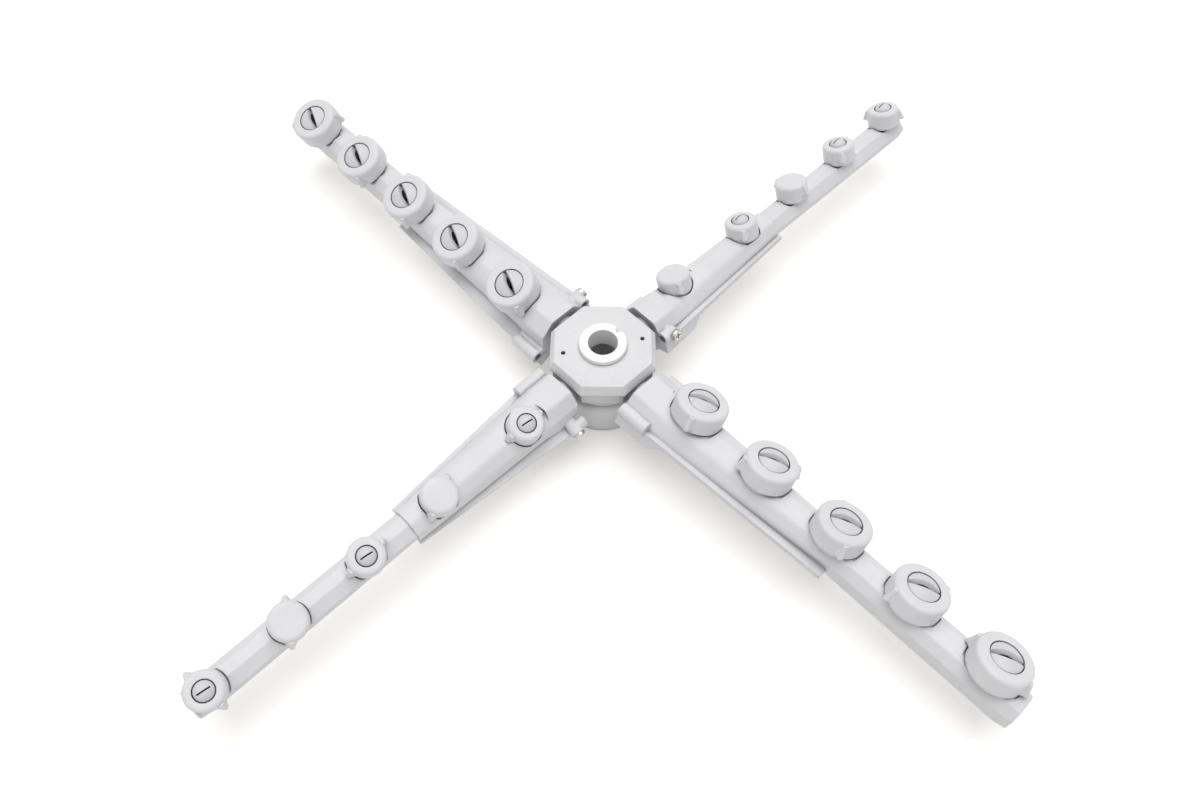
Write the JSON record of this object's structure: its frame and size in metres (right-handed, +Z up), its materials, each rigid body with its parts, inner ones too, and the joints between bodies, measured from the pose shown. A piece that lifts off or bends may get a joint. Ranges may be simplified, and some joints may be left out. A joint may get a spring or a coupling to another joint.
{
  "type": "dishwasher spray arm",
  "caption": "Cross-shaped dishwasher spray arm: octagonal hub on a flanged bush, two wash and two rinse arms with tilted jet nozzles under lugged screw caps.",
  "frame": {"origin": "on the hub's axis at the underside of the feed collar, which the arm stands on", "axes": "+Z up along the hub's axis, +X along the front wash arm, +Y along the right rinse arm"},
  "size_m": [0.4862, 0.4822, 0.0531],
  "materials": {
    "arm_plastic": "satin moulded",
    "hub_plastic": "satin moulded",
    "cap_plastic": "satin moulded",
    "nozzle_plastic": "satin moulded",
    "bush_plastic": "smooth white",
    "seal_rubber": "matt",
    "steel": "bright"
  },
  "bodies": {
    "bearing": {"top_bush": "bush_plastic", "bush_clip": "steel"},
    "rotor": {"arm_seals": "seal_rubber", "feed_collar": "hub_plastic", "hub_body": "hub_plastic", "hub_cover": "hub_plastic", "lock_screws": "steel", "lower_bush": "bush_plastic", "rinse_gaskets": "seal_rubber", "rinse_left_lower_shell": "arm_plastic", "rinse_left_nozzle_1": "nozzle_plastic", "rinse_left_nozzle_3": "nozzle_plastic", "rinse_left_nozzle_5": "nozzle_plastic", "rinse_left_upper_shell": "arm_plastic", "rinse_right_lower_shell": "arm_plastic", "rinse_right_nozzle_2": "nozzle_plastic", "rinse_right_nozzle_4": "nozzle_plastic", "rinse_right_nozzle_5": "nozzle_plastic", "rinse_right_upper_shell": "arm_plastic", "wash_front_lower_shell": "arm_plastic", "wash_front_nozzle_1": "nozzle_plastic", "wash_front_nozzle_2": "nozzle_plastic", "wash_front_nozzle_3": "nozzle_plastic", "wash_front_nozzle_4": "nozzle_plastic", "wash_front_nozzle_5": "nozzle_plastic", "wash_front_upper_shell": "arm_plastic", "wash_gaskets": "seal_rubber", "wash_rear_lower_shell": "arm_plastic", "wash_rear_nozzle_1": "nozzle_plastic", "wash_rear_nozzle_2": "nozzle_plastic", "wash_rear_nozzle_3": "nozzle_plastic", "wash_rear_nozzle_4": "nozzle_plastic", "wash_rear_nozzle_5": "nozzle_plastic", "wash_rear_upper_shell": "arm_plastic"},
    "rinse_left_turn_2": {"rinse_left_blank_cap_2": "cap_plastic"},
    "rinse_left_turn_4": {"rinse_left_blank_cap_4": "cap_plastic"},
    "rinse_left_turn_1": {"rinse_left_cap_1": "cap_plastic"},
    "rinse_left_turn_3": {"rinse_left_cap_3": "cap_plastic"},
    "rinse_left_turn_5": {"rinse_left_cap_5": "cap_plastic"},
    "rinse_right_turn_1": {"rinse_right_blank_cap_1": "cap_plastic"},
    "rinse_right_turn_3": {"rinse_right_blank_cap_3": "cap_plastic"},
    "rinse_right_turn_2": {"rinse_right_cap_2": "cap_plastic"},
    "rinse_right_turn_4": {"rinse_right_cap_4": "cap_plastic"},
    "rinse_right_turn_5": {"rinse_right_cap_5": "cap_plastic"},
    "wash_front_turn_1": {"wash_front_cap_1": "cap_plastic"},
    "wash_front_turn_2": {"wash_front_cap_2": "cap_plastic"},
    "wash_front_turn_3": {"wash_front_cap_3": "cap_plastic"},
    "wash_front_turn_4": {"wash_front_cap_4": "cap_plastic"},
    "wash_front_turn_5": {"wash_front_cap_5": "cap_plastic"},
    "wash_rear_turn_1": {"wash_rear_cap_1": "cap_plastic"},
    "wash_rear_turn_2": {"wash_rear_cap_2": "cap_plastic"},
    "wash_rear_turn_3": {"wash_rear_cap_3": "cap_plastic"},
    "wash_rear_turn_4": {"wash_rear_cap_4": "cap_plastic"},
    "wash_rear_turn_5": {"wash_rear_cap_5": "cap_plastic"}
  },
  "joints": [
    {"name": "arm_spin", "type": "hinge", "parent": "bearing", "child": "rotor", "pos_m": [0, 0, 0], "axis": [0, 0, 1], "continuous": true},
    {"name": "rinse_left_blank_cap_2_unscrew", "type": "hinge", "parent": "rotor", "child": "rinse_left_turn_2", "pos_m": [0.0035, -0.10827, 0.03504], "axis": [0.3584, -0.0173, 0.9334], "range_deg": [0, 270]},
    {"name": "rinse_left_blank_cap_4_unscrew", "type": "hinge", "parent": "rotor", "child": "rinse_left_turn_4", "pos_m": [0.0035, -0.19086, 0.03352], "axis": [0.3584, -0.0173, 0.9334], "range_deg": [0, 270]},
    {"name": "rinse_left_cap_1_unscrew", "type": "hinge", "parent": "rotor", "child": "rinse_left_turn_1", "pos_m": [0.0035, -0.05608, 0.03601], "axis": [0.3584, -0.0173, 0.9334], "range_deg": [0, 270]},
    {"name": "rinse_left_cap_3_unscrew", "type": "hinge", "parent": "rotor", "child": "rinse_left_turn_3", "pos_m": [0.0035, -0.14957, 0.03428], "axis": [0.3584, -0.0173, 0.9334], "range_deg": [0, 270]},
    {"name": "rinse_left_cap_5_unscrew", "type": "hinge", "parent": "rotor", "child": "rinse_left_turn_5", "pos_m": [0.0035, -0.23215, 0.03275], "axis": [0.3584, -0.0173, 0.9334], "range_deg": [0, 270]},
    {"name": "rinse_right_blank_cap_1_unscrew", "type": "hinge", "parent": "rotor", "child": "rinse_right_turn_1", "pos_m": [-0.0035, 0.05608, 0.03601], "axis": [-0.3584, 0.0173, 0.9334], "range_deg": [0, 270]},
    {"name": "rinse_right_blank_cap_3_unscrew", "type": "hinge", "parent": "rotor", "child": "rinse_right_turn_3", "pos_m": [-0.0035, 0.14957, 0.03428], "axis": [-0.3584, 0.0173, 0.9334], "range_deg": [0, 270]},
    {"name": "rinse_right_cap_2_unscrew", "type": "hinge", "parent": "rotor", "child": "rinse_right_turn_2", "pos_m": [-0.0035, 0.10827, 0.03504], "axis": [-0.3584, 0.0173, 0.9334], "range_deg": [0, 270]},
    {"name": "rinse_right_cap_4_unscrew", "type": "hinge", "parent": "rotor", "child": "rinse_right_turn_4", "pos_m": [-0.0035, 0.19086, 0.03352], "axis": [-0.3584, 0.0173, 0.9334], "range_deg": [0, 270]},
    {"name": "rinse_right_cap_5_unscrew", "type": "hinge", "parent": "rotor", "child": "rinse_right_turn_5", "pos_m": [-0.0035, 0.23215, 0.03275], "axis": [-0.3584, 0.0173, 0.9334], "range_deg": [0, 270]},
    {"name": "wash_front_cap_1_unscrew", "type": "hinge", "parent": "rotor", "child": "wash_front_turn_1", "pos_m": [0.05745, 0.00603, 0.03972], "axis": [0.0173, 0.3584, 0.9334], "range_deg": [0, 270]},
    {"name": "wash_front_cap_2_unscrew", "type": "hinge", "parent": "rotor", "child": "wash_front_turn_2", "pos_m": [0.10044, 0.00603, 0.03893], "axis": [0.0173, 0.3584, 0.9334], "range_deg": [0, 270]},
    {"name": "wash_front_cap_3_unscrew", "type": "hinge", "parent": "rotor", "child": "wash_front_turn_3", "pos_m": [0.14204, 0.00603, 0.03816], "axis": [0.0173, 0.3584, 0.9334], "range_deg": [0, 270]},
    {"name": "wash_front_cap_4_unscrew", "type": "hinge", "parent": "rotor", "child": "wash_front_turn_4", "pos_m": [0.18363, 0.00603, 0.03739], "axis": [0.0173, 0.3584, 0.9334], "range_deg": [0, 270]},
    {"name": "wash_front_cap_5_unscrew", "type": "hinge", "parent": "rotor", "child": "wash_front_turn_5", "pos_m": [0.22522, 0.00603, 0.03662], "axis": [0.0173, 0.3584, 0.9334], "range_deg": [0, 270]},
    {"name": "wash_rear_cap_1_unscrew", "type": "hinge", "parent": "rotor", "child": "wash_rear_turn_1", "pos_m": [-0.05745, -0.00603, 0.03972], "axis": [-0.0173, -0.3584, 0.9334], "range_deg": [0, 270]},
    {"name": "wash_rear_cap_2_unscrew", "type": "hinge", "parent": "rotor", "child": "wash_rear_turn_2", "pos_m": [-0.10044, -0.00603, 0.03893], "axis": [-0.0173, -0.3584, 0.9334], "range_deg": [0, 270]},
    {"name": "wash_rear_cap_3_unscrew", "type": "hinge", "parent": "rotor", "child": "wash_rear_turn_3", "pos_m": [-0.14204, -0.00603, 0.03816], "axis": [-0.0173, -0.3584, 0.9334], "range_deg": [0, 270]},
    {"name": "wash_rear_cap_4_unscrew", "type": "hinge", "parent": "rotor", "child": "wash_rear_turn_4", "pos_m": [-0.18363, -0.00603, 0.03739], "axis": [-0.0173, -0.3584, 0.9334], "range_deg": [0, 270]},
    {"name": "wash_rear_cap_5_unscrew", "type": "hinge", "parent": "rotor", "child": "wash_rear_turn_5", "pos_m": [-0.22522, -0.00603, 0.03662], "axis": [-0.0173, -0.3584, 0.9334], "range_deg": [0, 270]}
  ]
}
